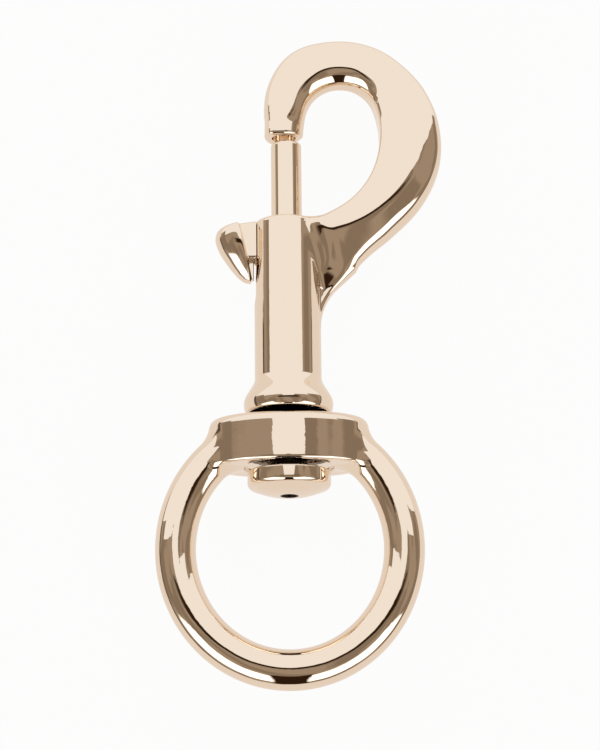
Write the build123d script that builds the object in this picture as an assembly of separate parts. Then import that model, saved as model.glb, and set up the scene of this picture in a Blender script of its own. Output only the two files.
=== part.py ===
from build123d import *
import os
from math import cos, pi, radians, sin

# Swivel bolt snap, lying flat. Millimetres.
# The barrel and the swivel turn on one axis along Y, the hook end at +Y and the eye at -Y.
# +X is the side of the hook's arm, -X the side of the thumb knob, +Z is up out of the hook's plane.
# While the pieces are made, Y = 0 is the rim of the bell collar and Z = 0 the hook's mid plane.
# The last step puts the origin at the bottom centre of the whole part.

# Barrel and bell collar, driving sizes
BARREL_LENGTH = 27.7
BARREL_RADIUS = 4.6
BARREL_TOP_ROUND = 0.6
BORE_RADIUS = 2.95
TOP_LAND = 1.1
COLLAR_RADIUS = 6.15
COLLAR_HEIGHT = 4.9
COLLAR_SHOULDER_SHARE = 0.3
COLLAR_OGEE_PULL = 0.32
COLLAR_RIM_RADIUS = 5.5
COLLAR_MOUTH_DEPTH = 1.9
COLLAR_MOUTH_RADIUS = 5.25

# Hook, driving sizes: two tangent arcs bound the opening, the crown arc and the back arc
CROWN_RADIUS = 5.1
CROWN_X = 7.7
CROWN_ABOVE_BARREL = 14.9
BACK_RADIUS = 12.2
BACK_TANGENT_ANGLE = 20.0
GATE_GAP = 12.6
TIP_WIDTH = 5.35
TIP_OFFSET = -0.3
TIP_RECESS_RADIUS = 1.65
TIP_RECESS_DEPTH = 1.3

# Stations along the hook: angle on the arc, band width, half thickness,
# and how full the band's inner and outer flanks are (0.5 is an ellipse, less is squarer, more is a keel)
TIP_SECTION = (2.4, 0.36, 0.30)
CROWN_STATIONS = [
    (180.0, 5.7, 2.4, 0.38, 0.30),
    (150.0, 6.5, 2.5, 0.40, 0.32),
    (120.0, 7.2, 2.55, 0.44, 0.34),
    (90.0, 7.05, 2.6, 0.44, 0.34),
    (60.0, 7.0, 2.7, 0.40, 0.34),
    (38.0, 7.1, 2.85, 0.34, 0.36),
]
BACK_STATIONS = [
    (12.0, 8.1, 3.1, 0.28, 0.38),
    (-5.0, 8.8, 3.3, 0.28, 0.42),
    (-22.0, 8.95, 3.3, 0.28, 0.50),
    (-40.0, 8.0, 3.3, 0.30, 0.62),
    (-56.0, 8.1, 3.3, 0.33, 0.72),
    (-70.0, 9.9, 3.2, 0.38, 0.78),
    (-82.0, 11.2, 3.0, 0.42, 0.80),
]
FLANK_POINTS = 9

# Web under the arm: a hollow arc that leaves the barrel upright and turns out to the arm's slope
WEB_HALF_THICKNESS = 1.25
WEB_FOOT_BELOW_TOP = 15.3
WEB_HOLLOW_RADIUS = 8.3
WEB_HOLLOW_ANGLE = 45.0
WEB_RUN_INTO_ARM = 4.0
WEB_RUN_ANGLE = 62.0

# Bolt and thumb knob
BOLT_RADIUS = 2.15
BOLT_NOSE_ROUND = 0.6
BOLT_TIP_GAP = 0.7
BOLT_TRAVEL = 8.0
GUIDE_LENGTH = 6.6
SPIGOT_RADIUS = 1.6
SPIGOT_LENGTH = 2.0
STUD_RADIUS = 1.2
STUD_BELOW_TOP = 2.5
STUD_DEPTH = 3.4
STUD_INTO_KNOB = 2.5
NECK_HEIGHT = 5.2
NECK_HALF_THICKNESS = 2.0
NECK_RUN_INTO_PAD = 1.0
NECK_EDGE_ROUND = 0.4
KNOB_BELOW_TOP = 0.35
PAD_TOP_ROUND = 0.6

# Thumb pad stations: how far below its top, the reach of its back and front from the axis, half width
PAD_STATIONS = [
    (0.0, 6.6, 9.4, 2.7),
    (2.0, 6.2, 10.0, 2.9),
    (5.2, 5.6, 8.6, 2.5),
    (7.2, 5.25, 7.1, 1.6),
    (8.3, 5.0, 6.0, 0.7),
]

# Return spring
WIRE_RADIUS = 0.25
SPRING_TURNS = 11

# Swivel pin
PIN_RADIUS = 2.5
FLANGE_RADIUS = 4.25
FLANGE_THICKNESS = 1.3
BUTTON_RADIUS = 5.7
BUTTON_SIDE = 1.4
BUTTON_CORNER = 0.85
BUTTON_DOME = 1.1
BUTTON_DOME_FULLNESS = 0.75
DIMPLE_RADIUS = 1.2
DIMPLE_DEPTH = 0.8

# Swivel eye and its bridge
EYE_INNER_WIDTH = 25.4
EYE_INNER_LENGTH = 27.4
EYE_BAR_WIDTH = 5.54
EYE_BAR_THICKNESS = 5.3
BRIDGE_HALF_LENGTH = 10.95
BRIDGE_HALF_DEPTH = 6.7
BRIDGE_HEIGHT = 6.9
BRIDGE_TOP_ROUND = 1.3
BRIDGE_BOTTOM_ROUND = 0.5
EYE_CENTRE_BELOW_BRIDGE = 10.95
BAR_ENTRY_ANGLE = 58.0
RECESS_DEPTH = 0.4
RECESS_EDGE = 0.45

# Named clearances
COLLAR_GAP = 0.7
BUTTON_GAP = 0.8
SLIDE_CLEARANCE = 0.1
STUD_CLEARANCE = 0.1
GUIDE_STOP_CLEARANCE = 0.1
SWIVEL_CLEARANCE = 0.08
NECK_CLEARANCE = 0.15
SPRING_END_CLEARANCE = 0.05
SPRING_SIDE_CLEARANCE = 0.2

# Places along the axis that follow from the sizes above
land_y = BARREL_LENGTH - TOP_LAND
tip_y = BARREL_LENGTH + GATE_GAP
bolt_top_y = tip_y - BOLT_TIP_GAP
guide_top_y = land_y - GUIDE_STOP_CLEARANCE
guide_bottom_y = guide_top_y - GUIDE_LENGTH
stud_y = BARREL_LENGTH - STUD_BELOW_TOP
stud_end_x = STUD_DEPTH - BARREL_RADIUS
knob_top_y = BARREL_LENGTH - KNOB_BELOW_TOP
slot_top_y = stud_y + STUD_RADIUS + STUD_CLEARANCE
slot_bottom_y = stud_y - BOLT_TRAVEL - STUD_RADIUS - STUD_CLEARANCE
flange_top_y = COLLAR_MOUTH_DEPTH + FLANGE_THICKNESS
bridge_top_y = -COLLAR_GAP
bridge_bottom_y = bridge_top_y - BRIDGE_HEIGHT
recess_radius = BUTTON_RADIUS + RECESS_EDGE
button_top_y = bridge_bottom_y + RECESS_DEPTH - BUTTON_GAP
eye_centre_y = bridge_bottom_y - EYE_CENTRE_BELOW_BRIDGE


def turned(profile):
    """A solid of revolution about the barrel's axis, from a closed outline of (radius, y) edges."""
    return revolve(make_face(profile), Axis.Y)


def cylinder_y(radius, low_y, high_y):
    """A round bar on the barrel's axis between two heights."""
    circle = Plane.XZ.offset(-low_y) * Circle(radius)
    return extrude(circle, amount=high_y - low_y, dir=(0, 1, 0))


def flank(share, inner, outer):
    """Height of the band's surface, as a share of its half thickness, at a share of its width.

    The two powers make each flank: the peak lies at inner / (inner + outer) of the width."""
    peak = inner / (inner + outer)
    return (share / peak) ** inner * ((1 - share) / (1 - peak)) ** outer


def band_section(inner_point, outward, width, half_thickness, inner, outer):
    """One closed section of the hook's band, in the plane of its outward direction and Z."""
    steps = [pi * i / FLANK_POINTS for i in range(FLANK_POINTS + 1)]
    shares = [(1 - cos(step)) / 2 for step in steps]
    upper = [(width * s, half_thickness * flank(s, inner, outer)) for s in shares]
    lower = [(along, -height) for along, height in reversed(upper[1:-1])]
    plane = Plane(
        origin=(inner_point[0], inner_point[1], 0),
        x_dir=(outward[0], outward[1], 0),
        z_dir=(outward[1], -outward[0], 0),
    )
    return plane * make_face(Spline(*upper, *lower, periodic=True))


def hook_sections():
    """The band's sections from the tip, round the crown and down the back into the barrel."""
    crown_y = BARREL_LENGTH + CROWN_ABOVE_BARREL
    tangent = radians(BACK_TANGENT_ANGLE)
    apart = BACK_RADIUS - CROWN_RADIUS
    back_x = CROWN_X - apart * cos(tangent)
    back_y = crown_y - apart * sin(tangent)
    tip_inner = (TIP_OFFSET + TIP_WIDTH / 2, tip_y)
    sections = [band_section(tip_inner, (-1, 0), TIP_WIDTH, *TIP_SECTION)]
    arcs = [(CROWN_X, crown_y, CROWN_RADIUS, CROWN_STATIONS)]
    arcs.append((back_x, back_y, BACK_RADIUS, BACK_STATIONS))
    for x, y, radius, stations in arcs:
        for angle, width, half_thickness, inner, outer in stations:
            outward = (cos(radians(angle)), sin(radians(angle)))
            point = (x + radius * outward[0], y + radius * outward[1])
            sections.append(band_section(point, outward, width, half_thickness, inner, outer))
    return sections


def barrel_and_collar():
    """The turned outside of the barrel, its rounded top edge and the bell collar.

    The collar's bulge curls in to the rim below its widest place, and an S curve joins it to the barrel."""
    round_start_y = BARREL_LENGTH - BARREL_TOP_ROUND
    round_start_x = BARREL_RADIUS - BARREL_TOP_ROUND
    waist = (BARREL_RADIUS, COLLAR_HEIGHT)
    shoulder = (COLLAR_RADIUS, COLLAR_HEIGHT * COLLAR_SHOULDER_SHARE)
    rim = (COLLAR_RIM_RADIUS, 0)
    ogee = Bezier(
        shoulder,
        (COLLAR_RADIUS, COLLAR_HEIGHT * (COLLAR_SHOULDER_SHARE + COLLAR_OGEE_PULL)),
        (BARREL_RADIUS, COLLAR_HEIGHT * (1 - COLLAR_OGEE_PULL)),
        waist,
    )
    outline = [
        Line((0, 0), rim),
        TangentArc(shoulder, rim, tangent=(0, -1)),
        ogee,
        Line(waist, (BARREL_RADIUS, round_start_y)),
        RadiusArc((BARREL_RADIUS, round_start_y), (round_start_x, BARREL_LENGTH), -BARREL_TOP_ROUND),
        Line((round_start_x, BARREL_LENGTH), (0, BARREL_LENGTH)),
        Line((0, BARREL_LENGTH), (0, 0)),
    ]
    return turned(outline)


def make_web():
    """The thin web that carries the arm's lower edge down the barrel in a hollow curve."""
    foot = Vector(BARREL_RADIUS, BARREL_LENGTH - WEB_FOOT_BELOW_TOP)
    turn = radians(WEB_HOLLOW_ANGLE)
    run = radians(WEB_RUN_ANGLE)
    hollow_end = foot + WEB_HOLLOW_RADIUS * Vector(1 - cos(turn), sin(turn))
    in_arm = hollow_end + WEB_RUN_INTO_ARM * Vector(cos(run), sin(run))
    root_x = (BARREL_RADIUS + BORE_RADIUS) / 2
    hollow = TangentArc(foot, hollow_end, tangent=(0, 1))
    rest = Polyline(hollow_end, in_arm, (root_x, in_arm.Y), (root_x, foot.Y), foot)
    return extrude(make_face([hollow, *rest.edges()]), amount=WEB_HALF_THICKNESS, both=True)


def make_hook_body():
    """Die casting: barrel with its bell collar, the hook and the web, then bored and slotted."""
    body = barrel_and_collar() + loft(hook_sections()) + make_web()
    body -= cylinder_y(BORE_RADIUS, 0, land_y)
    body -= cylinder_y(BOLT_RADIUS + SLIDE_CLEARANCE, land_y, BARREL_LENGTH)
    body -= cylinder_y(FLANGE_RADIUS, 0, flange_top_y)
    body -= cylinder_y(COLLAR_MOUTH_RADIUS, 0, COLLAR_MOUTH_DEPTH)
    slot_height = slot_top_y - slot_bottom_y
    slot_width = 2 * (STUD_RADIUS + STUD_CLEARANCE)
    slot_middle = (slot_top_y + slot_bottom_y) / 2
    slot = Plane.YZ * Pos(slot_middle, 0) * SlotOverall(slot_height, slot_width)
    body -= extrude(slot, amount=-COLLAR_RADIUS)
    recess_floor = tip_y + TIP_RECESS_DEPTH
    recess = cylinder_y(TIP_RECESS_RADIUS, tip_y, recess_floor)
    return body - Pos(TIP_OFFSET, 0, 0) * recess


def make_bolt():
    """Turned plunger: rounded nose, guide with the stud's cross hole, and a spigot for the spring."""
    nose = cylinder_y(BOLT_RADIUS, guide_top_y, bolt_top_y)
    nose = fillet(nose.edges().sort_by(Axis.Y)[-1], BOLT_NOSE_ROUND)
    guide = cylinder_y(BORE_RADIUS - SLIDE_CLEARANCE, guide_bottom_y, guide_top_y)
    spigot = cylinder_y(SPIGOT_RADIUS, guide_bottom_y - SPIGOT_LENGTH, guide_bottom_y)
    hole = Plane.YZ.offset(stud_end_x) * Pos(stud_y, 0) * Circle(STUD_RADIUS)
    return nose + guide + spigot - extrude(hole, amount=-BARREL_RADIUS)


def pad_section(below, back, front, half_width):
    """One level section of the thumb pad: flat towards the barrel, half an ellipse outside."""
    outside = EllipticalCenterArc((0, 0), front - back, half_width, start_angle=-90, arc_size=180)
    plane = Plane(origin=(-back, knob_top_y - below, 0), x_dir=(-1, 0, 0), z_dir=(0, 1, 0))
    return plane * make_face([outside, Line(outside @ 1, outside @ 0)])


def make_thumb_knob():
    """Thumb piece: a tapering pad that the thumb pulls down, a flat neck and a stud into the bolt."""
    pad = loft([pad_section(*station) for station in PAD_STATIONS])
    pad = fillet(pad.faces().sort_by(Axis.Y)[-1].edges(), PAD_TOP_ROUND)
    neck_end_x = PAD_STATIONS[0][1] + NECK_RUN_INTO_PAD
    neck_y = knob_top_y - NECK_HEIGHT / 2
    neck = Pos(-neck_end_x / 2, neck_y, 0) * Box(neck_end_x, NECK_HEIGHT, 2 * NECK_HALF_THICKNESS)
    neck = fillet(neck.edges().filter_by(Axis.X), NECK_EDGE_ROUND)
    knob = pad + neck - cylinder_y(BARREL_RADIUS + NECK_CLEARANCE, 0, BARREL_LENGTH)
    stud = Plane.YZ.offset(stud_end_x) * Pos(stud_y, 0) * Circle(STUD_RADIUS)
    return knob + extrude(stud, amount=-STUD_DEPTH - STUD_INTO_KNOB)


def make_return_spring():
    """Coil of round wire between the bolt's guide and the pin's flange."""
    low_y = flange_top_y + WIRE_RADIUS + SPRING_END_CLEARANCE
    high_y = guide_bottom_y - WIRE_RADIUS - SPRING_END_CLEARANCE
    coil_radius = BORE_RADIUS - WIRE_RADIUS - SPRING_SIDE_CLEARANCE
    height = high_y - low_y
    path = Helix(height / SPRING_TURNS, height, coil_radius)
    wire = sweep(Plane(path @ 0, z_dir=path % 0) * Circle(WIRE_RADIUS), path)
    return Pos(0, low_y, 0) * Rot(-90, 0, 0) * wire


def make_swivel_pin():
    """Rivet: flange held in the collar, stem through the bridge, spun button head with a dimple."""
    side_end_y = button_top_y - BUTTON_SIDE
    rim_radius = BUTTON_RADIUS - BUTTON_CORNER
    rim_y = side_end_y - BUTTON_CORNER
    crown_y = rim_y - BUTTON_DOME
    dome_mid = (rim_radius / 2, rim_y - BUTTON_DOME * BUTTON_DOME_FULLNESS)
    outline = [
        Line((0, flange_top_y), (FLANGE_RADIUS, flange_top_y)),
        Line((FLANGE_RADIUS, flange_top_y), (FLANGE_RADIUS, COLLAR_MOUTH_DEPTH)),
        Line((FLANGE_RADIUS, COLLAR_MOUTH_DEPTH), (PIN_RADIUS, COLLAR_MOUTH_DEPTH)),
        Line((PIN_RADIUS, COLLAR_MOUTH_DEPTH), (PIN_RADIUS, button_top_y)),
        Line((PIN_RADIUS, button_top_y), (BUTTON_RADIUS, button_top_y)),
        Line((BUTTON_RADIUS, button_top_y), (BUTTON_RADIUS, side_end_y)),
        RadiusArc((BUTTON_RADIUS, side_end_y), (rim_radius, rim_y), BUTTON_CORNER),
        ThreePointArc((rim_radius, rim_y), dome_mid, (0, crown_y)),
        Line((0, crown_y), (0, flange_top_y)),
    ]
    head = turned(outline)
    dimple_circle_radius = (DIMPLE_RADIUS ** 2 + DIMPLE_DEPTH ** 2) / (2 * DIMPLE_DEPTH)
    dimple_y = crown_y + DIMPLE_DEPTH - dimple_circle_radius
    return head - Pos(0, dimple_y, 0) * Sphere(dimple_circle_radius)


def make_bridge():
    """The eye's thick bridge: an oval block with rounded edges."""
    plan = Plane.XZ.offset(-bridge_bottom_y) * Ellipse(BRIDGE_HALF_LENGTH, BRIDGE_HALF_DEPTH)
    block = extrude(plan, amount=BRIDGE_HEIGHT, dir=(0, 1, 0))
    block = fillet(block.edges().sort_by(Axis.Y)[-1], BRIDGE_TOP_ROUND)
    return fillet(block.edges().sort_by(Axis.Y)[0], BRIDGE_BOTTOM_ROUND)


def make_swivel_eye():
    """Die casting: the oval eye swept into both ends of the bridge, bored for the pin."""
    middle_x = (EYE_INNER_WIDTH + EYE_BAR_WIDTH) / 2
    middle_y = (EYE_INNER_LENGTH + EYE_BAR_WIDTH) / 2
    path = EllipticalCenterArc(
        (0, eye_centre_y),
        middle_x,
        middle_y,
        start_angle=180 - BAR_ENTRY_ANGLE,
        arc_size=180 + 2 * BAR_ENTRY_ANGLE,
    )
    section = Plane(path @ 0, x_dir=(0, 0, 1), z_dir=path % 0)
    bar = sweep(section * Ellipse(EYE_BAR_THICKNESS / 2, EYE_BAR_WIDTH / 2), path)
    eye = make_bridge() + bar
    eye -= cylinder_y(PIN_RADIUS + SWIVEL_CLEARANCE, bridge_bottom_y, bridge_top_y)
    return eye - cylinder_y(recess_radius, bridge_bottom_y, bridge_bottom_y + RECESS_DEPTH)


pieces = {
    "hook_body": make_hook_body(),
    "bolt": make_bolt(),
    "thumb_knob": make_thumb_knob(),
    "return_spring": make_return_spring(),
    "swivel_pin": make_swivel_pin(),
    "swivel_eye": make_swivel_eye(),
}

whole = Compound(list(pieces.values())).bounding_box()
origin = (whole.center().X, whole.center().Y, whole.min.Z)
os.makedirs("parts", exist_ok=True)
for name, piece in pieces.items():
    piece = Pos(-origin[0], -origin[1], -origin[2]) * piece
    export_step(piece, f"parts/{name}.step")
print("axis at X", round(-origin[0], 4), "Z", round(-origin[2], 4), "rim at Y", round(-origin[1], 4))
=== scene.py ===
from itertools import product
from math import cos, pi, radians, sin, tan

import bpy
import numpy as np
from mathutils import Euler, Matrix, Vector


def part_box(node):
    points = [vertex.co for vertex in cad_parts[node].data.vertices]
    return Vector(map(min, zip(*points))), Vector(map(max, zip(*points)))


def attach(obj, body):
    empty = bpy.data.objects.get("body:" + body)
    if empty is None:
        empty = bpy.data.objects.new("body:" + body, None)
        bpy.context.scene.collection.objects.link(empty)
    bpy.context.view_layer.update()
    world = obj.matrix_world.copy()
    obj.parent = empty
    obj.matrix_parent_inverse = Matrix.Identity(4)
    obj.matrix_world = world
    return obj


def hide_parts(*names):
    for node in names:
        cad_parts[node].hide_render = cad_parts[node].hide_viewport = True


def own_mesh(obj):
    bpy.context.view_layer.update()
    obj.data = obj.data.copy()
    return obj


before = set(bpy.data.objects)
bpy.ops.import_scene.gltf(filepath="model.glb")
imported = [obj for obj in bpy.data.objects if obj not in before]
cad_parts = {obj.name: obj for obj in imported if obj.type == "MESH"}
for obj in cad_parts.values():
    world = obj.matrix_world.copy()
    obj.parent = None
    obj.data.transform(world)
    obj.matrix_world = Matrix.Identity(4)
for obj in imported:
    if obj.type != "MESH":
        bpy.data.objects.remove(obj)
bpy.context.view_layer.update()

# Hook body
# Zinc die casting: a bored barrel with a bell collar at its foot, the hook that leaves the
# barrel's side, and a thin web under the arm. Trimmed, tumbled smooth and plated champagne.

# Its forms blend into each other, so the shape is a field of distances in millimetres, below
# zero inside the metal, and the skin lies where the field is zero. Every piece is made on the
# barrel's own axis: X = Z = 0 on the axis and Y = 0 at the collar's rim.
BARREL_LENGTH = 27.7
BARREL_RADIUS = 4.6
BARREL_TOP_ROUND = 0.6
BORE_RADIUS = 2.95
TOP_LAND = 1.1
TOP_HOLE_RADIUS = 2.25
COLLAR_RADIUS = 6.15
COLLAR_WIDEST = 1.5
COLLAR_CURL_RADIUS = 3.0
COLLAR_CURL_END = 0.95
COLLAR_TOP = 5.2
COLLAR_RIM = 0.1
COLLAR_RIM_ROUND = 0.2
COLLAR_MOUTH_DEPTH = 1.9
COLLAR_MOUTH_RADIUS = 5.5
FLARE_EVENING = 0.85
SLOT_BOTTOM = 15.9
SLOT_TOP = 26.5
SLOT_HALF_WIDTH = 1.3
FLANGE_RADIUS = 4.25
FLANGE_TOP = 3.2
CUT_PAST_END = 3.0
CUT_EDGE_ROUND = 0.12

CROWN_RADIUS = 5.1
CROWN_X = 7.7
CROWN_Y = 42.6
BACK_RADIUS = 12.2
BACK_TANGENT = 20.0
LEG_TANGENT = 174.3
TIP_Y = 40.3
TIP_ROUND = 0.45
TIP_RECESS_RADIUS = 1.65
TIP_RECESS_DEPTH = 1.3
TIP_RECESS_X = -0.3
ROOT_X = 2.0
ARM_FILLET = 1.0

# Stations round the hook: the angle that the inner outline faces, and the value there
WIDTH = ((206, 5.4), (174, 5.75), (150, 6.6), (125, 7.35), (96, 7.0), (60, 6.98), (39, 7.1),
         (20, 7.7), (6, 8.42), (-10, 8.84), (-30, 8.4), (-47, 7.9), (-60, 8.2), (-70, 9.6),
         (-78, 11.2), (-90, 13.0))
INNER_STEP = ((206, -0.1), (180, -0.1), (150, -0.08), (120, -0.05), (90, -0.03), (50, 0.07),
              (20, 0.08), (0, 0.0), (-10, 0.03), (-30, 0.27), (-50, 0.42), (-65, 0.42),
              (-78, 0.6), (-90, 0.75))
THICKNESS = ((206, 2.4), (180, 2.4), (150, 2.5), (120, 2.55), (90, 2.6), (60, 2.7), (38, 2.85),
             (12, 3.15), (0, 3.3), (-55, 3.3), (-90, 2.9))
INNER_ROUND = ((206, 3.0), (180, 2.9), (167, 2.3), (140, 2.6), (125, 2.8), (106, 2.95),
               (86, 2.9), (70, 2.8), (57, 2.5), (39, 2.1), (20, 1.4), (7, 1.0), (-90, 1.0))
OUTER_ROUND = ((206, 0.35), (174, 0.35), (90, 0.4), (30, 0.5), (0, 0.8), (-20, 1.1),
               (-36, 1.45), (-56, 1.5), (-70, 1.4), (-90, 1.2))
OUTER_BULGE = ((206, 0.85), (150, 0.8), (90, 0.7), (30, 0.5), (0, 0.3), (-30, 0.1), (-90, 0.0))

# The outer part of the face slopes away from a ridge, past this distance from the inner outline
RIDGE = ((60, 12.0), (30, 9.8), (12, 8.4), (4, 7.0), (-7, 6.0), (-20, 5.6), (-32, 5.0),
         (-40, 4.6), (-56, 3.9), (-67, 3.3), (-71, 3.0), (-75, 1.9), (-90, 1.5))
RIDGE_FALL = ((30, 0.5), (0, 0.52), (-20, 0.52), (-40, 0.5), (-56, 0.42), (-70, 0.29),
              (-80, 0.24), (-90, 0.22))
RIDGE_ROUND = 0.7
FACE_DOME = 0.15

# The flat shoulder that leads from the barrel's side into the arm, steeper further down
SHOULDER_TILT = ((27.7, 29.0), (25.0, 29.0), (23.0, 37.0), (21.0, 52.0), (19.0, 80.0),
                 (18.0, 90.0))
SHOULDER_REACH = 7.0
SHOULDER_TOP_ROUND = 0.9

WEB_HALF_THICKNESS = 1.1
WEB_FOOT = 12.4
WEB_HOLLOW_RADIUS = 7.95
WEB_TANGENT = 135
WEB_ARC_START = 179.9
WEB_END_X = 9.5
WEB_EDGE_ROUND = 0.6
WEB_FILLET = 0.8
WEB_FILLET_LEAST = 0.1

# The field is read once for a block of cells, and again cell by cell only near the skin
FIELD_BLOCK = 5
FIELD_REACH = 1.25
FIRST_SETTLING = 5
EVENING_ROUNDS = 4
LATER_SETTLING = 2
LEAST_SLOPE_SQUARED = 0.05


def rounded_cut(a, b, radius):
    """The larger of two distances, with the edge between them rounded to a radius.

    Where both are within the radius of their surfaces, the distance to a circle takes over."""
    corner = np.hypot(np.maximum(a + radius, 0), np.maximum(b + radius, 0))
    return np.minimum(np.maximum(a, b), -radius) + corner


def filleted_join(a, b, radius):
    """The smaller of two distances, with a hollow fillet of a radius between them."""
    return -rounded_cut(-a, -b, radius)


def soft_smaller(a, b, width):
    """The smaller of two heights, with a parabola over the width where they are close."""
    overlap = np.maximum(width - np.abs(a - b), 0) / width
    return np.minimum(a, b) - overlap ** 2 * width / 4


def along(stations, place):
    """Value at each place by cubics through the stations, with the mean slope of the neighbours."""
    knots, values = np.array(sorted(stations), float).T
    slopes = np.gradient(values, knots)
    place = np.clip(place, knots[0], knots[-1])
    i = np.clip(np.searchsorted(knots, place) - 1, 0, len(knots) - 2)
    span = knots[i + 1] - knots[i]
    t = (place - knots[i]) / span
    start = values[i] * (1 + 2 * t) * (1 - t) ** 2 + values[i + 1] * t ** 2 * (3 - 2 * t)
    return start + span * (slopes[i] * t * (1 - t) ** 2 - slopes[i + 1] * t ** 2 * (1 - t))


def barrel_field(x, y, z):
    """A turned bar whose radius falls from the collar to the barrel along the S 3t^2 - 2t^3.

    Below its widest place the collar curls in along a circle. FLARE_EVENING brings the radial
    distance at the flare nearer to the shortest one."""
    t = np.clip((y - COLLAR_WIDEST) / (COLLAR_TOP - COLLAR_WIDEST), 0, 1)
    radius = COLLAR_RADIUS - (COLLAR_RADIUS - BARREL_RADIUS) * (3 * t ** 2 - 2 * t ** 3)
    below = np.clip((COLLAR_WIDEST - y) / COLLAR_CURL_RADIUS, 0, COLLAR_CURL_END)
    radius = radius - COLLAR_CURL_RADIUS * (1 - np.sqrt(1 - below ** 2))
    wall = (np.hypot(x, z) - radius) * np.where(y < COLLAR_TOP, FLARE_EVENING, 1)
    body = rounded_cut(wall, COLLAR_RIM - y, COLLAR_RIM_ROUND)
    return rounded_cut(body, y - BARREL_LENGTH, BARREL_TOP_ROUND)


def shoulder_field(x, y, z):
    """A wedge whose two faces touch the barrel, at a tilt that grows down the barrel: each is the
    plane |z| cos(tilt) + x sin(tilt) = barrel radius."""
    tilt = np.radians(along(SHOULDER_TILT, y))
    face = np.abs(z) * np.cos(tilt) + x * np.sin(tilt) - BARREL_RADIUS
    ends = np.maximum(BARREL_RADIUS * np.sin(tilt) - x, x - SHOULDER_REACH)
    wedge = np.maximum(face, np.maximum(ends, SHOULDER_TILT[-1][0] - y))
    return rounded_cut(wedge, y - BARREL_LENGTH, SHOULDER_TOP_ROUND)


def hook_band_field(x, y, z):
    """The hook as a bent bar: a line and two arcs bound its inside, and its width, thickness,
    edge rounding and the sloping outer face vary with the angle that the inside faces."""
    back_x = CROWN_X - (BACK_RADIUS - CROWN_RADIUS) * cos(radians(BACK_TANGENT))
    back_y = CROWN_Y - (BACK_RADIUS - CROWN_RADIUS) * sin(radians(BACK_TANGENT))
    leg_out = (cos(radians(LEG_TANGENT)), sin(radians(LEG_TANGENT)))
    in_crown = np.degrees(np.arctan2(y - CROWN_Y, x - CROWN_X))
    in_back = np.degrees(np.arctan2(y - back_y, x - back_x))
    from_crown = np.hypot(x - CROWN_X, y - CROWN_Y) - CROWN_RADIUS
    from_back = np.hypot(x - back_x, y - back_y) - BACK_RADIUS
    from_leg = (x - CROWN_X) * leg_out[0] + (y - CROWN_Y) * leg_out[1] - CROWN_RADIUS
    down_leg = (CROWN_X - x) * leg_out[1] + (y - CROWN_Y) * leg_out[0]
    in_leg = LEG_TANGENT + np.degrees(down_leg / CROWN_RADIUS)
    crown = (in_crown >= BACK_TANGENT) & (in_crown <= LEG_TANGENT)
    leg = ~crown & (x < CROWN_X - CROWN_RADIUS / 2) & (y > TIP_Y - CROWN_RADIUS)
    turn = np.where(crown, in_crown, np.where(leg, in_leg, in_back))
    out = np.where(crown, from_crown, np.where(leg, from_leg, from_back))
    width = along(WIDTH, turn)
    height = along(THICKNESS, turn)
    face = height - FACE_DOME * np.maximum(2 * out / width - 1, 0) ** 2
    slope = along(RIDGE_FALL, turn)
    outer_face = height - slope * (out - along(RIDGE, turn))
    front = np.abs(z) - soft_smaller(face, outer_face, RIDGE_ROUND * slope)
    front = front / np.where(outer_face < face, np.sqrt(1 + slope ** 2), 1)
    bulge = along(OUTER_BULGE, turn)
    side = (out - width + bulge * (z / height) ** 2) / np.hypot(1, 2 * bulge * z / height ** 2)
    body = rounded_cut(front, side, along(OUTER_ROUND, turn))
    inner = along(INNER_STEP, turn) - out
    body = rounded_cut(body, inner, along(INNER_ROUND, turn))
    end = np.where(crown, -CROWN_RADIUS, np.where(leg, TIP_Y - y, ROOT_X - x))
    return rounded_cut(body, end, TIP_ROUND)


def web_field(x, y, z):
    """A flat web whose free edge is an arc out of the barrel and then its 45 degree tangent.

    The arc runs from nearly 180 degrees, where it is in line with the barrel, to the tangent."""
    centre_x = BARREL_RADIUS + WEB_HOLLOW_RADIUS
    turn = np.degrees(np.arctan2(y - WEB_FOOT, x - centre_x))
    arc = WEB_HOLLOW_RADIUS - np.hypot(x - centre_x, y - WEB_FOOT)
    line = (x - centre_x - y + WEB_FOOT) / 2 ** 0.5 + WEB_HOLLOW_RADIUS
    edge = np.where(turn > WEB_TANGENT, arc, line)
    edge = np.where((turn < 0) | (turn > WEB_ARC_START), x - BORE_RADIUS, edge)
    edge = np.maximum(edge, WEB_FOOT - y)
    edge = np.maximum(edge, np.maximum(x - WEB_END_X, BORE_RADIUS - x))
    edge = np.maximum(edge, y - BARREL_LENGTH + BARREL_RADIUS)
    return rounded_cut(np.abs(z) - WEB_HALF_THICKNESS, edge, WEB_EDGE_ROUND)


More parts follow.
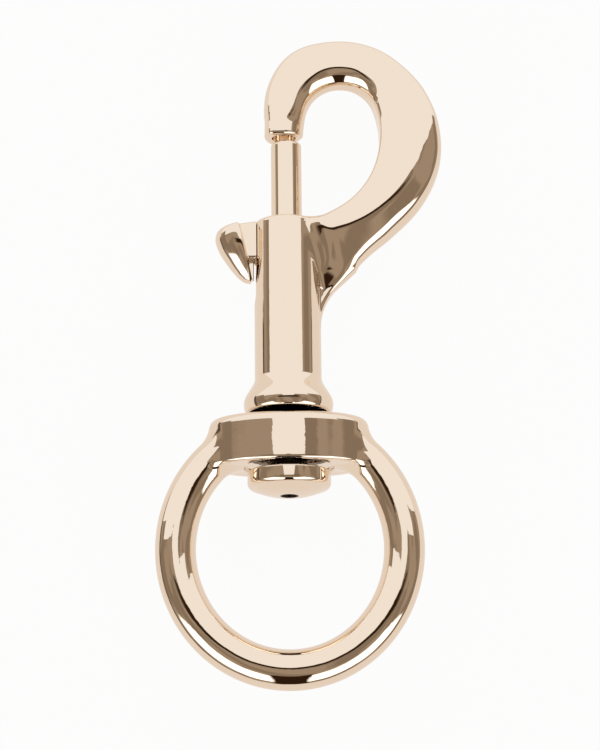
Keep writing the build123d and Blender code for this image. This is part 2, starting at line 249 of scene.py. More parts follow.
def hook_body_field(x, y, z):
    """Barrel, hook and web joined with fillets, then bored, slotted and recessed."""
    barrel = barrel_field(x, y, z)
    band = hook_band_field(x, y, z)
    body = filleted_join(np.minimum(barrel, shoulder_field(x, y, z)), band, ARM_FILLET)
    web_fillet = WEB_FILLET * np.clip((y - WEB_FOOT) / WEB_HOLLOW_RADIUS, WEB_FILLET_LEAST, 1)
    body = filleted_join(body, web_field(x, y, z), web_fillet)
    r = np.hypot(x, z)
    bore = np.maximum(r - BORE_RADIUS, y - BARREL_LENGTH + TOP_LAND)
    hole = np.maximum(r - TOP_HOLE_RADIUS, -y)
    hole = np.maximum(hole, y - BARREL_LENGTH - CUT_PAST_END)
    mouth = np.maximum(r - COLLAR_MOUTH_RADIUS, y - COLLAR_MOUTH_DEPTH)
    seat = np.maximum(r - FLANGE_RADIUS, y - FLANGE_TOP)
    middle = np.clip(y, SLOT_BOTTOM + SLOT_HALF_WIDTH, SLOT_TOP - SLOT_HALF_WIDTH)
    slot = np.maximum(np.hypot(y - middle, z) - SLOT_HALF_WIDTH, x)
    recess = np.hypot(x - TIP_RECESS_X, z) - TIP_RECESS_RADIUS
    recess = np.maximum(recess, np.abs(y - TIP_Y) - TIP_RECESS_DEPTH)
    cut = np.minimum(np.minimum(bore, hole), np.minimum(mouth, seat))
    cut = np.minimum(cut, np.minimum(slot, recess))
    return rounded_cut(body, -cut, CUT_EDGE_ROUND)


def slope_of(field, points):
    """Gradient of the field at each point, by differences over a hundredth of a millimetre."""
    small = 0.01
    slopes = []
    for axis in range(3):
        shift = np.zeros(3)
        shift[axis] = small
        slopes.append((field(*(points + shift).T) - field(*(points - shift).T)) / (2 * small))
    return np.stack(slopes, 1)


def onto_surface(field, points, rounds, step):
    """Moves each point along the field's gradient g by -f g / (g g), at most half a cell."""
    for _ in range(rounds):
        gradient = slope_of(field, points)
        squared = np.maximum((gradient ** 2).sum(1), LEAST_SLOPE_SQUARED)
        move = gradient * (field(*points.T) / squared)[:, None]
        far = np.maximum(np.linalg.norm(move, axis=1) / (0.5 * step), 1)
        points = points - move / far[:, None]
    return points


def level_surface(field, low, high, step):
    """Points and quads of the surface where the field is zero.

    Each cell of a grid that the surface crosses holds one point, at the mean of the crossings of
    its edges, and the four cells round a crossed edge make a quad. The points are then evened out
    among their neighbours and moved onto the surface."""
    low = np.array(low, float)
    size = np.ceil((np.array(high) - low) / (step * FIELD_BLOCK)).astype(int) * FIELD_BLOCK
    axes = [low[i] + step * np.arange(size[i]) for i in range(3)]
    middles = [axis[::FIELD_BLOCK] + step * (FIELD_BLOCK - 1) / 2 for axis in axes]
    value = field(*np.meshgrid(*middles, indexing="ij"))
    for axis in range(3):
        value = np.repeat(value, FIELD_BLOCK, axis=axis)
    near = np.nonzero(np.abs(value) < FIELD_REACH)
    value[near] = field(*(axes[i][near[i]] for i in range(3)))
    inside = value < 0
    ends = [slice(0, -1), slice(1, None)]
    full = sum(inside[corner].astype(int) for corner in product(ends, repeat=3))
    crossed = (full > 0) & (full < 8)
    number = np.full(crossed.shape, -1)
    number[crossed] = np.arange(crossed.sum())
    cells = np.argwhere(crossed)
    total = np.zeros((len(cells), 3))
    hits = np.zeros(len(cells))
    for axis in range(3):
        for first, second in product((0, 1), repeat=2):
            start = np.insert([first, second], axis, 0)
            end = np.insert([first, second], axis, 1)
            a = value[tuple((cells + start).T)]
            b = value[tuple((cells + end).T)]
            cuts = (a < 0) != (b < 0)
            share = np.where(cuts, a / np.where(cuts, a - b, 1), 0)
            total += cuts[:, None] * (cells + start + share[:, None] * (end - start))
            hits += cuts
    points = low + step * total / hits[:, None]
    quads = []
    for axis in range(3):
        one, two = np.eye(3, dtype=int)[(axis + 1) % 3], np.eye(3, dtype=int)[(axis + 2) % 3]
        lower = np.take(inside, range(size[axis] - 1), axis)
        upper = np.take(inside, range(1, size[axis]), axis)
        edge = np.argwhere(lower != upper)
        ring = [number[tuple((edge - shift).T)] for shift in (0 * one, one, one + two, two)]
        ring = np.stack(ring, 1)
        outward = lower[tuple(edge.T)]
        quads.append(np.where(outward[:, None], ring, ring[:, ::-1]))
    quads = np.concatenate(quads)
    points = onto_surface(field, points, FIRST_SETTLING, step)
    for _ in range(EVENING_ROUNDS):
        near_sum = np.zeros_like(points)
        near_count = np.zeros(len(points))
        for corner in range(4):
            here, there = quads[:, corner], quads[:, (corner + 1) % 4]
            for a, b in ((here, there), (there, here)):
                for axis in range(3):
                    near_sum[:, axis] += np.bincount(a, points[b, axis], len(points))
                near_count += np.bincount(a, minlength=len(points))
        points = points + 0.5 * (near_sum / near_count[:, None] - points)
        points = onto_surface(field, points, LATER_SETTLING, step)
    return points, quads


# The bolt is turned about the barrel's axis and its top is this far above the rim, so its box
# gives the place of the axis in the frame
BOLT_TOP = 39.6
bolt_low, bolt_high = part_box("bolt")
axis_origin = np.array([
    (bolt_low.x + bolt_high.x) / 2,
    bolt_high.y - BOLT_TOP / 1000,
    (bolt_low.z + bolt_high.z) / 2,
])


def make_piece(name, points, faces, material):
    """A smooth mesh object from points in millimetres on the barrel's axis and lists of corners."""
    mesh = bpy.data.meshes.new(name)
    mesh.from_pydata((points / 1000 + axis_origin).tolist(), [], faces)
    mesh.polygons.foreach_set("use_smooth", np.ones(len(faces), bool))
    mesh.materials.append(material)
    mesh.update()
    piece = bpy.data.objects.new(name, mesh)
    bpy.context.scene.collection.objects.link(piece)
    return piece


def cast_piece(name, field, low, high, step, material):
    """A casting's skin from its field, with normals along the field's gradient."""
    points, faces = level_surface(field, low, high, step)
    piece = make_piece(name, points, faces.tolist(), material)
    gradient = slope_of(field, points)
    normals = gradient / np.linalg.norm(gradient, axis=1)[:, None]
    piece.data.normals_split_custom_set_from_vertices(normals.tolist())
    return piece


def face_places(piece):
    """Each face's distance from the barrel's axis and its height along it, in millimetres."""
    middles = np.zeros(len(piece.data.polygons) * 3)
    piece.data.polygons.foreach_get("center", middles)
    x, y, z = ((middles.reshape(-1, 3) - axis_origin) * 1000).T
    return np.hypot(x, z), y


def linear(hex_colour):
    """sRGB hex to the linear colour that a shader takes."""
    share = np.array([int(hex_colour[i:i + 2], 16) for i in (0, 2, 4)]) / 255
    light = np.where(share <= 0.04045, share / 12.92, ((share + 0.055) / 1.055) ** 2.4)
    return (*light.tolist(), 1.0)


def add_node(tree, kind, settings=(), values=(), **links):
    """One node with its settings, socket values and links, each from another node's output.

    A link is named for its socket, with _ for a space, or _0, _1 ... for the socket's number."""
    made = tree.nodes.new(kind)
    for key, value in dict(settings).items():
        setattr(made, key, value)
    for key, value in dict(values).items():
        made.inputs[key].default_value = value
    for key, output in links.items():
        socket = int(key[1:]) if key[1:].isdigit() else key.replace("_", " ")
        tree.links.new(output, made.inputs[socket])
    return made


# The grit marks of tumbling are finer than a tenth of a millimetre, and are drawn coarser so that
# they show
HAZE_MM = 0.4
HAZE_SPREAD = (0.3, 0.8)
HAZE_ROUGHNESS = (0.015, 0.05)


def metal_skin(name, colour, wave_mm, wave_depth_mm):
    """Metal with slow waves in its skin, and a haze of grit marks that varies its roughness."""
    material = bpy.data.materials.new(name)
    material.use_nodes = True
    tree = material.node_tree
    shader = tree.nodes["Principled BSDF"]
    shader.inputs["Metallic"].default_value = 1.0
    shader.inputs["Base Color"].default_value = linear(colour)
    place = add_node(tree, "ShaderNodeTexCoord").outputs["Object"]
    wave = add_node(tree, "ShaderNodeTexNoise", values={"Scale": 1000 / wave_mm, "Detail": 2.5},
                    Vector=place)
    bump = add_node(tree, "ShaderNodeBump", values={"Distance": wave_depth_mm / 1000},
                    Height=wave.outputs["Fac"])
    tree.links.new(bump.outputs["Normal"], shader.inputs["Normal"])
    haze = add_node(tree, "ShaderNodeTexNoise", values={"Scale": 1000 / HAZE_MM, "Detail": 3.0},
                    Vector=place)
    ends = {"From Min": HAZE_SPREAD[0], "From Max": HAZE_SPREAD[1],
            "To Min": HAZE_ROUGHNESS[0], "To Max": HAZE_ROUGHNESS[1]}
    rough = add_node(tree, "ShaderNodeMapRange", values=ends, Value=haze.outputs["Fac"])
    tree.links.new(rough.outputs["Result"], shader.inputs["Roughness"])
    return material


CHAMPAGNE = "F0E0CD"
# Bright champagne plating over a tumbled zinc casting: a mirror whose reflections waver a little
champagne_casting = metal_skin("champagne plated zinc casting", CHAMPAGNE,
                               wave_mm=5.0, wave_depth_mm=0.035)
# The same plating over a turned surface: the mirror is truer and its bands run straight
champagne_turned = metal_skin("champagne plated turned steel", CHAMPAGNE,
                              wave_mm=4.0, wave_depth_mm=0.004)
# Painted shade: a dark metal put on the hollows (bore, collar's mouth, pin hole, pin stem, button dimple)
# where shadow falls
painted_shade_metal = metal_skin("dark metal painted as shade in hollows", "2A2420", wave_mm=2.0, wave_depth_mm=0.004)

# The block of space that the skin is looked for in, and the size of its cells
HOOK_LOW = (-7.0, -0.8, -7.0)
HOOK_HIGH = (23.0, 56.0, 7.0)
HOOK_CELL = 0.196
MOUTH_SIDE_MARGIN = 0.05
MOUTH_END_MARGIN = 0.1
BORE_SIDE_MARGIN = 0.15
BORE_END_MARGIN = 0.5
hook_body = cast_piece("hook_body_skin", hook_body_field, HOOK_LOW, HOOK_HIGH, HOOK_CELL,
                       champagne_casting)
# Painted shade: faces in the collar's mouth and in the bore take the dark metal in place of the shadow in
# these hollows
hook_body.data.materials.append(painted_shade_metal)
from_axis, height = face_places(hook_body)
in_mouth = (height > COLLAR_RIM + COLLAR_RIM_ROUND) & (height < COLLAR_MOUTH_DEPTH + MOUTH_END_MARGIN)
in_mouth = in_mouth & (from_axis < COLLAR_MOUTH_RADIUS + MOUTH_SIDE_MARGIN)
in_bore = (height > 0) & (height < BARREL_LENGTH - BORE_END_MARGIN)
in_bore = in_bore & (from_axis < FLANGE_RADIUS + BORE_SIDE_MARGIN)
hook_body.data.polygons.foreach_set("material_index", (in_mouth | in_bore).astype(int))
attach(hook_body, "hook")
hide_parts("hook_body")


# Bolt
# Turned steel plunger that closes the hook: a straight round nose above a wider guide that
# slides in the bore, and a spigot that centres the spring.
BOLT_RADIUS = 2.15
BOLT_NOSE_ROUND = 0.6
GUIDE_TOP = 26.5
GUIDE_BOTTOM = 19.9
GUIDE_RADIUS = 2.85
GUIDE_ROUND = 0.15
SPIGOT_RADIUS = 1.6
SPIGOT_BOTTOM = 17.9
SPIGOT_ROUND = 0.2
TURN_STEPS = 144
OUTLINE_SUPPORT = 0.04
TURNED_SHARP = 35


def rounded_outline(corners, arc_steps=8):
    """A turned piece's outline from (radius, y, rounding) corners, each an arc of its rounding.

    An arc's centre lies on the line that halves its corner, at the rounding over the sine of the
    half angle. A point close to each end of an arc keeps the straight runs straight under smooth
    shading."""
    points = []
    for i, (radius, y, rounding) in enumerate(corners):
        here = np.array([radius, y])
        if rounding == 0 or i in (0, len(corners) - 1):
            points.append(here)
            continue
        before = np.array(corners[i - 1][:2]) - here
        after = np.array(corners[i + 1][:2]) - here
        before = before / np.linalg.norm(before)
        after = after / np.linalg.norm(after)
        half = np.arccos(np.clip(before @ after, -1, 1)) / 2
        centre = here + (before + after) / np.linalg.norm(before + after) * rounding / np.sin(half)
        first = here + before * rounding / np.tan(half) - centre
        last = here + after * rounding / np.tan(half) - centre
        points.append(centre + first + before * OUTLINE_SUPPORT)
        for t in np.linspace(0, 1, arc_steps + 1):
            ray = first * (1 - t) + last * t
            points.append(centre + ray / np.linalg.norm(ray) * rounding)
        points.append(centre + last + after * OUTLINE_SUPPORT)
    return np.array(points)


def turned_piece(name, outline, material):
    """A surface of revolution: (r, y) of the outline becomes (r cos t, y, r sin t) round the axis.

    The first and last points lie on the axis and become the poles, closed with triangles."""
    turns = 2 * pi * np.arange(TURN_STEPS) / TURN_STEPS
    middle = outline[1:-1]
    x = middle[:, :1] * np.cos(turns)
    y = np.repeat(middle[:, 1:], TURN_STEPS, 1)
    z = middle[:, :1] * np.sin(turns)
    rings = np.stack([x, y, z], 2).reshape(-1, 3)
    points = np.concatenate([rings, [[0, outline[0, 1], 0], [0, outline[-1, 1], 0]]])
    here = np.arange(TURN_STEPS)
    after = (here + 1) % TURN_STEPS
    row = np.arange(len(middle) - 1)[:, None] * TURN_STEPS
    corners = [row + here, row + after, row + TURN_STEPS + after, row + TURN_STEPS + here]
    quads = np.stack(corners, 2).reshape(-1, 4)
    last_row = (len(middle) - 1) * TURN_STEPS
    top = np.stack([after, here, np.full(TURN_STEPS, len(rings))], 1)
    bottom = np.stack([last_row + here, last_row + after, np.full(TURN_STEPS, len(rings) + 1)], 1)
    piece = make_piece(name, points, quads.tolist() + top.tolist() + bottom.tolist(), material)
    piece.data.set_sharp_from_angle(angle=radians(TURNED_SHARP))
    return piece


bolt = turned_piece("bolt_turned", rounded_outline([
    (0, BOLT_TOP, 0),
    (BOLT_RADIUS, BOLT_TOP, BOLT_NOSE_ROUND),
    (BOLT_RADIUS, GUIDE_TOP, 0),
    (GUIDE_RADIUS, GUIDE_TOP, GUIDE_ROUND),
    (GUIDE_RADIUS, GUIDE_BOTTOM, GUIDE_ROUND),
    (SPIGOT_RADIUS, GUIDE_BOTTOM, 0),
    (SPIGOT_RADIUS, SPIGOT_BOTTOM, SPIGOT_ROUND),
    (0, SPIGOT_BOTTOM, 0),
]), champagne_turned)
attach(bolt, "plunger")
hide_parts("bolt")


# Thumb knob
# Small zinc casting whose stud is pressed into the bolt through the slot: a flat neck against
# the barrel, and beyond it a thick leaf-shaped pad that the thumb pulls down. Plated champagne.
KNOB_TOP = 27.5
KNOB_TOP_FALL = 0.14
KNOB_TOP_ROUND = 0.5
PAD_BOTTOM = 19.0
# Stations up the pad: the height, and how far from the axis its back and its front are, or half
# its thickness
PAD_BACK = ((19.0, 5.0), (22.1, 5.55), (27.5, 6.7))
PAD_REACH = ((18.8, 5.0), (19.1, 5.9), (19.6, 6.65), (20.4, 7.4), (21.9, 8.5), (23.8, 9.6),
             (25.4, 10.0), (26.4, 9.75), (27.5, 8.8))
PAD_HALF = ((18.9, 0.8), (20.0, 1.5), (21.9, 2.35), (24.0, 2.85), (27.5, 3.0))
PAD_BACK_ROUND = 0.3
PAD_EVENING = 0.9
NECK_BOTTOM = 22.1
NECK_HALF_THICKNESS = 2.05
NECK_EDGE_ROUND = 0.3
NECK_PAD_FILLET = 0.25
KNOB_CLEARANCE = 0.06
BARREL_SIDE_ROUND = 0.1
TAIL_HALF_THICKNESS = 0.6
TAIL_BOTTOM = 19.4
TAIL_OVERLAP = 0.5
STUD_RADIUS = 1.2
STUD_Y = 25.2
STUD_MIDDLE_X = -4.0
STUD_HALF_LENGTH = 2.8


def thumb_knob_field(x, y, z):
    """A pad whose level section is half an ellipse beyond its flat back, with a neck and a stud."""
    back = along(PAD_BACK, y)
    reach = along(PAD_REACH, y)
    half = along(PAD_HALF, y)
    depth = np.maximum(reach - back, 1e-6)
    beyond = np.maximum(-x - back, 0) / depth
    pad = (np.hypot(beyond, z / half) - 1) * np.minimum(half, depth) * PAD_EVENING
    pad = rounded_cut(pad, back + x, PAD_BACK_ROUND)
    pad = rounded_cut(pad, PAD_BOTTOM - y, PAD_BACK_ROUND)
    neck = rounded_cut(np.abs(z) - NECK_HALF_THICKNESS, NECK_BOTTOM - y, NECK_EDGE_ROUND)
    neck = np.maximum(neck, -x - back - NECK_HALF_THICKNESS / 2)
    tail = np.maximum(TAIL_BOTTOM - y, -x - back - TAIL_OVERLAP)
    tail = np.maximum(np.abs(z) - TAIL_HALF_THICKNESS, tail)
    knob = filleted_join(pad, np.minimum(neck, tail), NECK_PAD_FILLET)
    knob = rounded_cut(knob, y - KNOB_TOP - KNOB_TOP_FALL * (x + BARREL_RADIUS), KNOB_TOP_ROUND)
    to_barrel = BARREL_RADIUS + KNOB_CLEARANCE - np.hypot(x, z)
    knob = rounded_cut(knob, np.maximum(to_barrel, x), BARREL_SIDE_ROUND)
    stud = np.hypot(y - STUD_Y, z) - STUD_RADIUS
    stud = np.maximum(stud, np.abs(x - STUD_MIDDLE_X) - STUD_HALF_LENGTH)
    return np.minimum(knob, stud)


KNOB_LOW = (-11.0, 18.0, -3.5)
KNOB_HIGH = (-0.5, 28.5, 3.5)
KNOB_CELL = 0.1
thumb_knob = cast_piece("thumb_knob_skin", thumb_knob_field, KNOB_LOW, KNOB_HIGH, KNOB_CELL,
                        champagne_casting)
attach(thumb_knob, "plunger")
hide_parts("thumb_knob")


# Return spring
# Drawn round wire, wound cold into a coil that stands in the bore between the pin's flange and
# the bolt's guide. It isn't plated. The real coil shortens as the bolt is drawn back, but this
# one is built at a single length and rides with the hook.
WIRE_RADIUS = 0.25
COIL_RADIUS = 2.5
SPRING_LOW = 3.5
SPRING_HIGH = 19.6
SPRING_TURNS = 11
WIRE_SIDES = 10
WIRE_SHARP = 50
STEPS_PER_TURN = 36


def coiled_wire(name, material):
    """A tube round the helix (R cos t, pitch t, R sin t), its round section square to the wire."""
    count = SPRING_TURNS * STEPS_PER_TURN + 1
    turn = np.linspace(0, 2 * pi * SPRING_TURNS, count)[:, None]
    rise = np.linspace(SPRING_LOW, SPRING_HIGH, count)[:, None]
    pitch = (SPRING_HIGH - SPRING_LOW) / (2 * pi * SPRING_TURNS)
    out = np.concatenate([np.cos(turn), 0 * turn, np.sin(turn)], 1)
    ahead = np.concatenate([-COIL_RADIUS * np.sin(turn), 0 * turn + pitch, COIL_RADIUS * np.cos(turn)], 1)
    ahead = ahead / np.linalg.norm(ahead, axis=1)[:, None]
    side = np.cross(ahead, out)
    centre = COIL_RADIUS * out + np.array([0, 1, 0]) * rise
    angle = 2 * pi * np.arange(WIRE_SIDES) / WIRE_SIDES
    ring = out[:, None] * np.cos(angle)[None, :, None] + side[:, None] * np.sin(angle)[None, :, None]
    points = (centre[:, None] + WIRE_RADIUS * ring).reshape(-1, 3)
    here = np.arange(WIRE_SIDES)
    after = (here + 1) % WIRE_SIDES
    row = np.arange(count - 1)[:, None] * WIRE_SIDES
    corners = [row + here, row + after, row + WIRE_SIDES + after, row + WIRE_SIDES + here]
    quads = np.stack(corners, 2).reshape(-1, 4)
    ends = [here[::-1].tolist(), (len(points) - WIRE_SIDES + here).tolist()]
    piece = make_piece(name, points, quads.tolist() + ends, material)
    piece.data.set_sharp_from_angle(angle=radians(WIRE_SHARP))
    return piece


# Bare drawn wire: a cooler, plain grey that shows only deep in the slot
spring_steel = metal_skin("drawn spring steel", "B9B6B0", wave_mm=1.0, wave_depth_mm=0.002)
spring = coiled_wire("return_spring_wire", spring_steel)
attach(spring, "hook")
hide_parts("return_spring")
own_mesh(spring)


# Swivel pin
# Turned steel rivet: its flange sits in the collar's mouth, its stem passes through the bridge,
# and its button head is spun over below, which leaves a dimple in the middle. Plated champagne.
PIN_RADIUS = 2.5
FLANGE_EDGE_ROUND = 0.1
BUTTON_RADIUS = 5.7
BUTTON_TOP = -8.0
BUTTON_BACK_ROUND = 0.25
BUTTON_SIDE = 1.6
BUTTON_CORNER = 0.8
BUTTON_CROWN = -11.35
BUTTON_FULLNESS = 2.6
DIMPLE_RADIUS = 1.25
DIMPLE_DEPTH = 0.8
BUTTON_BACK_MARGIN = 0.05
CORNER_POINTS = 10
CROWN_POINTS = 16
DIMPLE_POINTS = 8

stem = rounded_outline([
    (0, FLANGE_TOP, 0),
    (FLANGE_RADIUS, FLANGE_TOP, FLANGE_EDGE_ROUND),
    (FLANGE_RADIUS, COLLAR_MOUTH_DEPTH, FLANGE_EDGE_ROUND),
    (PIN_RADIUS, COLLAR_MOUTH_DEPTH, 0),
    (PIN_RADIUS, BUTTON_TOP, 0),
    (BUTTON_RADIUS, BUTTON_TOP, BUTTON_BACK_ROUND),
    (BUTTON_RADIUS, BUTTON_TOP - BUTTON_SIDE, 0),
])

# The corner of the button is a quarter circle
face_radius = BUTTON_RADIUS - BUTTON_CORNER
face_edge = BUTTON_TOP - BUTTON_SIDE - BUTTON_CORNER
corner_turn = np.linspace(0, pi / 2, CORNER_POINTS)[1:-1]
corner = np.stack([
    face_radius + BUTTON_CORNER * np.cos(corner_turn),
    face_edge + BUTTON_CORNER * (1 - np.sin(corner_turn)),
], 1)

# Its face is crowned: the height falls with the radius to the power BUTTON_FULLNESS
crown_radius = np.linspace(face_radius, DIMPLE_RADIUS, CROWN_POINTS)
crown_rise = (face_edge - BUTTON_CROWN) * (crown_radius / face_radius) ** BUTTON_FULLNESS
crown = np.stack([crown_radius, BUTTON_CROWN + crown_rise], 1)

# The dimple is a paraboloid
dimple_share = np.linspace(1, 0, DIMPLE_POINTS)[1:]
dimple = np.stack([
    DIMPLE_RADIUS * dimple_share,
    BUTTON_CROWN + DIMPLE_DEPTH * (1 - dimple_share ** 2),
], 1)

button = np.concatenate([stem, corner, crown, dimple])
swivel_pin = turned_piece("swivel_pin_turned", button, champagne_turned)
# Painted shade: the pin's flange, its stem, the back of its button under the bridge, and the button's
# dimple take the dark metal
swivel_pin.data.materials.append(painted_shade_metal)
from_axis, height = face_places(swivel_pin)
in_pin_hole = height > BUTTON_TOP - BUTTON_BACK_MARGIN
in_dimple = (from_axis < DIMPLE_RADIUS) & (height < BUTTON_TOP)
swivel_pin.data.polygons.foreach_set("material_index", (in_pin_hole | in_dimple).astype(int))
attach(swivel_pin, "hook")
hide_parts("swivel_pin")


# Swivel eye
# Zinc die casting: an oval eye for the strap and the thick oval bridge that turns on the pin,
# with a hole for the stem and a shallow seat for the button. Tumbled and plated champagne.
EYE_MIDDLE_X = 15.47
EYE_MIDDLE_Y = 16.47
EYE_CENTRE = -18.55
EYE_BAR_HALF_WIDTH = 2.77
EYE_BAR_HALF_THICKNESS = 2.65
BRIDGE_TOP = -0.7
BRIDGE_BOTTOM = -7.47
BRIDGE_DRAFT = 2.0
BRIDGE_HALF_LENGTH = 10.95
BRIDGE_HALF_DEPTH = 6.7
BRIDGE_TOP_ROUND = 1.3
BRIDGE_BOTTOM_ROUND = 0.5
EYE_FILLET = 1.3
EYE_BAR_CORE = 0.3
EYE_TOP_ABOVE_MIDDLE = 3.0
EYE_TOP_ROUND = 1.0
SEAT_RADIUS = 6.15
SEAT_DEPTH = 0.4
PIN_HOLE_RADIUS = 2.58
PIN_HOLE_PAST_END = 1.0
PIN_HOLE_MARGIN = 0.1
EYE_CUT_ROUND = 0.15


def oval_distance(x, y, half_x, half_y):
    """Nearly the distance to an ellipse: its equation divided by the equation's own slope."""
    size = np.hypot(x / half_x, y / half_y)
    slope = np.hypot(x / half_x ** 2, y / half_y ** 2) / np.maximum(size, 1e-6)
    return (size - 1) / np.maximum(slope, 1e-6)


def swivel_eye_field(x, y, z):
    """An oval ring of oval section joined to an oval block, bored for the pin and recessed below.

    The ellipse's slope has no direction at the bar's very middle, so the field is set there."""
    across = oval_distance(x, y - EYE_CENTRE, EYE_MIDDLE_X, EYE_MIDDLE_Y)
    ring = oval_distance(across, z, EYE_BAR_HALF_WIDTH, EYE_BAR_HALF_THICKNESS)
    core = np.hypot(across, z) < EYE_BAR_CORE
    ring = np.where(core, EYE_BAR_CORE - EYE_BAR_HALF_THICKNESS, ring)
    bridge_middle = (BRIDGE_TOP + BRIDGE_BOTTOM) / 2
    ring = rounded_cut(ring, y - bridge_middle - EYE_TOP_ABOVE_MIDDLE, EYE_TOP_ROUND)
    wall = oval_distance(x, z, BRIDGE_HALF_LENGTH, BRIDGE_HALF_DEPTH)
    wall = wall + (BRIDGE_TOP - y) * tan(radians(BRIDGE_DRAFT))
    bridge = rounded_cut(wall, y - BRIDGE_TOP, BRIDGE_TOP_ROUND)
    bridge = rounded_cut(bridge, BRIDGE_BOTTOM - y, BRIDGE_BOTTOM_ROUND)
    body = filleted_join(ring, bridge, EYE_FILLET)
    r = np.hypot(x, z)
    hole = np.maximum(r - PIN_HOLE_RADIUS, BRIDGE_BOTTOM - PIN_HOLE_PAST_END - y)
    seat = np.maximum(r - SEAT_RADIUS, np.abs(y - BRIDGE_BOTTOM) - SEAT_DEPTH)
    return rounded_cut(body, -np.minimum(hole, seat), EYE_CUT_ROUND)


# The same plating over the eye's casting, whose waves are shorter: its bands have broken ends
champagne_eye = metal_skin("champagne plated zinc eye", CHAMPAGNE, wave_mm=3.0, wave_depth_mm=0.03)
EYE_LOW = (-19.0, -38.6, -7.2)
EYE_HIGH = (19.0, 0.2, 7.2)
EYE_CELL = 0.19
swivel_eye = cast_piece("swivel_eye_skin", swivel_eye_field, EYE_LOW, EYE_HIGH, EYE_CELL, champagne_eye)
# Painted shade: the wall of the eye's pin hole takes the dark metal
swivel_eye.data.materials.append(painted_shade_metal)
from_axis, height = face_places(swivel_eye)
in_pin_hole = (from_axis < PIN_HOLE_RADIUS + PIN_HOLE_MARGIN) & (height > BRIDGE_BOTTOM)
swivel_eye.data.polygons.foreach_set("material_index", in_pin_hole.astype(int))
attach(swivel_eye, "eye")
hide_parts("swivel_eye")


# Floor, light and camera
# A white table below, a broad white light above and behind, and brown surroundings elsewhere.
# The metal mirrors all of them, so their places make the bright and dark parts that it shows.
TABLE_HALF = 2.0
TABLE_GLOW = 0.94
TABLE_LEFT_EDGE = (-0.09, -0.07)
TABLE_RIGHT_EDGE = (0.20, 0.17)
BACK_LIGHT_EDGE = (0.36, 0.30)


def ramp(tree, value, start, end, interpolation="SMOOTHSTEP"):
    """0 before the start and 1 past the end, with a straight or smooth rise between."""
    made = add_node(tree, "ShaderNodeMapRange", {"interpolation_type": interpolation},
                    {"From Min": start, "From Max": end}, Value=value)
    return made.outputs["Result"]


def combine(tree, operation, a, b=0.0):
    """The operation on two values, each a number or another node's output."""
    made = add_node(tree, "ShaderNodeMath", {"operation": operation})
    for number, value in enumerate((a, b)):
        if isinstance(value, float):
            made.inputs[number].default_value = value
        else:
            tree.links.new(value, made.inputs[number])
    return made.outputs[0]


def blend_colours(tree, share, first, second):
    """The first colour at a share of 0 and the second at 1, each a colour or a node's output."""
    made = add_node(tree, "ShaderNodeMix", {"data_type": "RGBA"}, Factor=share)
    for number, colour in ((6, first), (7, second)):
        if isinstance(colour, tuple):
            made.inputs[number].default_value = colour
        else:
            tree.links.new(colour, made.inputs[number])
    return made.outputs[2]


table_corners = [(-TABLE_HALF, -TABLE_HALF, 0), (TABLE_HALF, -TABLE_HALF, 0),
                 (TABLE_HALF, TABLE_HALF, 0), (-TABLE_HALF, TABLE_HALF, 0)]
floor_mesh = bpy.data.meshes.new("floor")
floor_mesh.from_pydata(table_corners, [], [(0, 1, 2, 3)])
floor = bpy.data.objects.new("floor", floor_mesh)
bpy.context.scene.collection.objects.link(floor)

# White painted table: it shows white to the camera, and the metal mirrors it a shade warmer. Past
# its sides the metal mirrors a dark floor, up to where the light at the back comes down to it.
painted_table = bpy.data.materials.new("white painted table")
painted_table.use_nodes = True
tree = painted_table.node_tree
tree.nodes.clear()
ray = add_node(tree, "ShaderNodeLightPath").outputs
seen = combine(tree, "MAXIMUM", ray["Is Camera Ray"], ray["Is Glossy Ray"])
seen = combine(tree, "MAXIMUM", seen, ray["Is Transmission Ray"])
on_table = add_node(tree, "ShaderNodeTexCoord").outputs["Object"]
place = add_node(tree, "ShaderNodeSeparateXYZ", Vector=on_table).outputs
on_left = ramp(tree, place["X"], *TABLE_LEFT_EDGE, "LINEAR")
on_right = ramp(tree, place["X"], *TABLE_RIGHT_EDGE, "LINEAR")
off_table = combine(tree, "SUBTRACT", 1.0, combine(tree, "MINIMUM", on_left, on_right))
steepness = combine(tree, "DIVIDE", place["Y"], combine(tree, "ABSOLUTE", place["X"]))
before_light = ramp(tree, steepness, *BACK_LIGHT_EDGE, "LINEAR")
dark_floor = combine(tree, "MULTIPLY", before_light, off_table)
mirrored_dark = combine(tree, "MULTIPLY", ray["Is Glossy Ray"], dark_floor)
table = blend_colours(tree, ray["Is Glossy Ray"], linear("FFFFFF"), linear("F3EBE5"))
table = blend_colours(tree, mirrored_dark, table, linear("503F35"))
glow = add_node(tree, "ShaderNodeEmission", Color=table)
matt = add_node(tree, "ShaderNodeBsdfDiffuse", values={"Color": linear("F3F3F3")})
mixed = add_node(tree, "ShaderNodeMixShader", _0=combine(tree, "MULTIPLY", seen, TABLE_GLOW),
                 _1=matt.outputs[0], _2=glow.outputs[0])
add_node(tree, "ShaderNodeOutputMaterial", Surface=mixed.outputs[0])
floor_mesh.materials.append(painted_table)

scene = bpy.context.scene
world = scene.world or bpy.data.worlds.new("studio")
scene.world = world
world.use_nodes = True
tree = world.node_tree
tree.nodes.clear()
direction = add_node(tree, "ShaderNodeTexCoord").outputs["Generated"]
way = add_node(tree, "ShaderNodeSeparateXYZ", Vector=direction).outputs
across = combine(tree, "ABSOLUTE", way["X"])

# The white light hangs overhead and behind. Its near edge is a little past the zenith, and
# further past it on both sides.
LIGHT_NEAR_EDGE = 0.11
LIGHT_NEAR_STEP = 0.115
LIGHT_STEP_SIDE = (0.2, 0.3)
near_step = combine(tree, "MULTIPLY", ramp(tree, across, *LIGHT_STEP_SIDE), LIGHT_NEAR_STEP)
past_near = combine(tree, "SUBTRACT", way["Y"], combine(tree, "ADD", near_step, LIGHT_NEAR_EDGE))

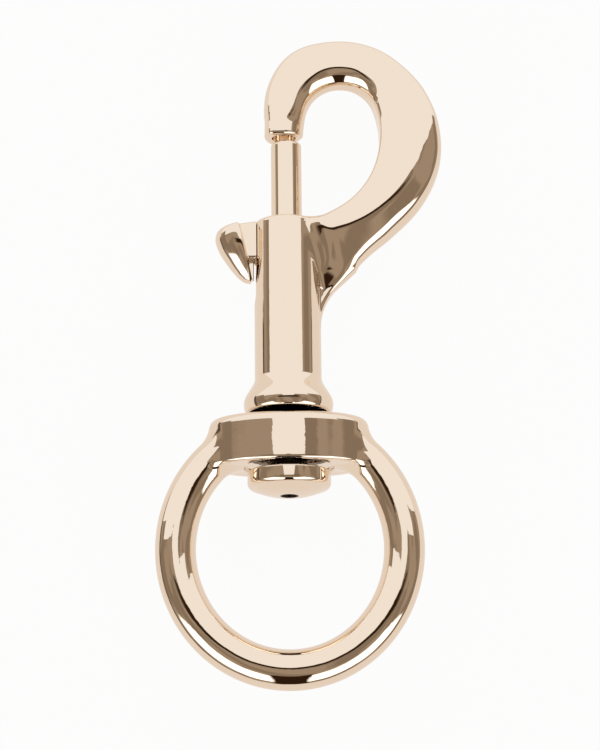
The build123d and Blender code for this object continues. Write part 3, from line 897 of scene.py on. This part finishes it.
# At the sides it ends at some height above the table, but at the back it comes down past it.
LIGHT_SIDE_EDGE = 0.5
LIGHT_SIDE_TILT = 0.13
LIGHT_BACK = (0.358, 0.362)
LIGHT_BACK_MIDDLE = (-0.1, 0.1)
LIGHT_BACK_RIGHT = 0.04
LIGHT_BACK_DEPTH = 0.1
LIGHT_EDGE = (-0.003, 0.003)
side_edge = combine(tree, "MULTIPLY", way["X"], LIGHT_SIDE_TILT)
side_edge = combine(tree, "ADD", side_edge, LIGHT_SIDE_EDGE)
to_right = ramp(tree, way["X"], *LIGHT_BACK_MIDDLE)
further_right = combine(tree, "MULTIPLY", to_right, LIGHT_BACK_RIGHT)
to_back = ramp(tree, combine(tree, "SUBTRACT", way["Y"], further_right), *LIGHT_BACK)
lowered = combine(tree, "MULTIPLY", to_back, combine(tree, "ADD", side_edge, LIGHT_BACK_DEPTH))
above_side = combine(tree, "SUBTRACT", way["Z"], combine(tree, "SUBTRACT", side_edge, lowered))
in_light = ramp(tree, combine(tree, "MINIMUM", past_near, above_side), *LIGHT_EDGE)

# A second light in front, bright enough to clip, is split by a dark post.
FRONT_LIGHT_FOOT = (0.16, 0.2)
FRONT_LIGHT_TOP = (0.68, 0.74)
FRONT_LIGHT_DISTANCE = (-0.36, -0.3)
FRONT_LIGHT_COLOUR = (1.9, 1.9, 1.9, 1)
POST_SIDE = (0.14, 0.18)
POST_TOP = (0.74, 0.8)
in_front = combine(tree, "SUBTRACT", 1.0, ramp(tree, way["Y"], *FRONT_LIGHT_DISTANCE))
beside_post = ramp(tree, across, *POST_SIDE)
front_light = combine(tree, "SUBTRACT", 1.0, ramp(tree, way["Z"], *FRONT_LIGHT_TOP))
front_light = combine(tree, "MULTIPLY", front_light, ramp(tree, way["Z"], *FRONT_LIGHT_FOOT))
front_light = combine(tree, "MULTIPLY", front_light, combine(tree, "MULTIPLY", in_front, beside_post))
post = combine(tree, "SUBTRACT", 1.0, ramp(tree, way["Z"], *POST_TOP))
post = combine(tree, "MULTIPLY", post, in_front)
post = combine(tree, "MULTIPLY", post, combine(tree, "SUBTRACT", 1.0, beside_post))

# The light's dark frame crosses the zenith.
FRAME_NEAR = (-0.07, -0.03)
FRAME_FAR = (0.08, 0.11)
FRAME_SIDE = (0.35, 0.55)
light_frame = combine(tree, "SUBTRACT", 1.0, ramp(tree, way["Y"], *FRAME_FAR))
light_frame = combine(tree, "MULTIPLY", light_frame, ramp(tree, way["Y"], *FRAME_NEAR))
frame_middle = combine(tree, "SUBTRACT", 1.0, ramp(tree, across, *FRAME_SIDE))
light_frame = combine(tree, "MULTIPLY", light_frame, frame_middle)

# The surroundings are brown, in soft lighter and darker patches.
PATCH_SCALE = 2.7
PATCH_EDGE = (0.44, 0.56)
patches = add_node(tree, "ShaderNodeTexNoise", values={"Scale": PATCH_SCALE, "Detail": 0.6},
                   Vector=direction)
patch = ramp(tree, patches.outputs["Fac"], *PATCH_EDGE)
colour = blend_colours(tree, patch, linear("A69685"), linear("8D7D6D"))
colour = blend_colours(tree, combine(tree, "MAXIMUM", post, light_frame), colour, linear("301F12"))
colour = blend_colours(tree, in_light, colour, linear("FFFFFF"))
colour = blend_colours(tree, front_light, colour, FRONT_LIGHT_COLOUR)
shown = add_node(tree, "ShaderNodeBackground", Color=colour)
add_node(tree, "ShaderNodeOutputWorld", Surface=shown.outputs[0])

# The camera looks down from the front, a little tilted and rolled.
LOOK_X = 1.62
LOOK_Y = 5.69
CAMERA_DISTANCE = 320.0
CAMERA_TILT = 15.0
CAMERA_ROLL = 0.65
CAMERA_LENS = 139.32
CAMERA_SENSOR = 36
CAMERA_NEAREST = 0.01
look = Vector(axis_origin) + Vector((LOOK_X, LOOK_Y, 0)) / 1000
aim = Euler((radians(CAMERA_TILT), 0, 0)).to_matrix() @ Matrix.Rotation(radians(-CAMERA_ROLL), 3, "Z")
camera_data = bpy.data.cameras.new("camera")
camera_data.lens = CAMERA_LENS
camera_data.sensor_width = CAMERA_SENSOR
camera_data.sensor_fit = "HORIZONTAL"
camera_data.clip_start = CAMERA_NEAREST
camera = bpy.data.objects.new("camera", camera_data)
camera.location = look + aim @ Vector((0, 0, CAMERA_DISTANCE / 1000))
camera.rotation_euler = aim.to_euler()
scene.collection.objects.link(camera)
scene.camera = camera
scene.view_settings.view_transform = "Standard"
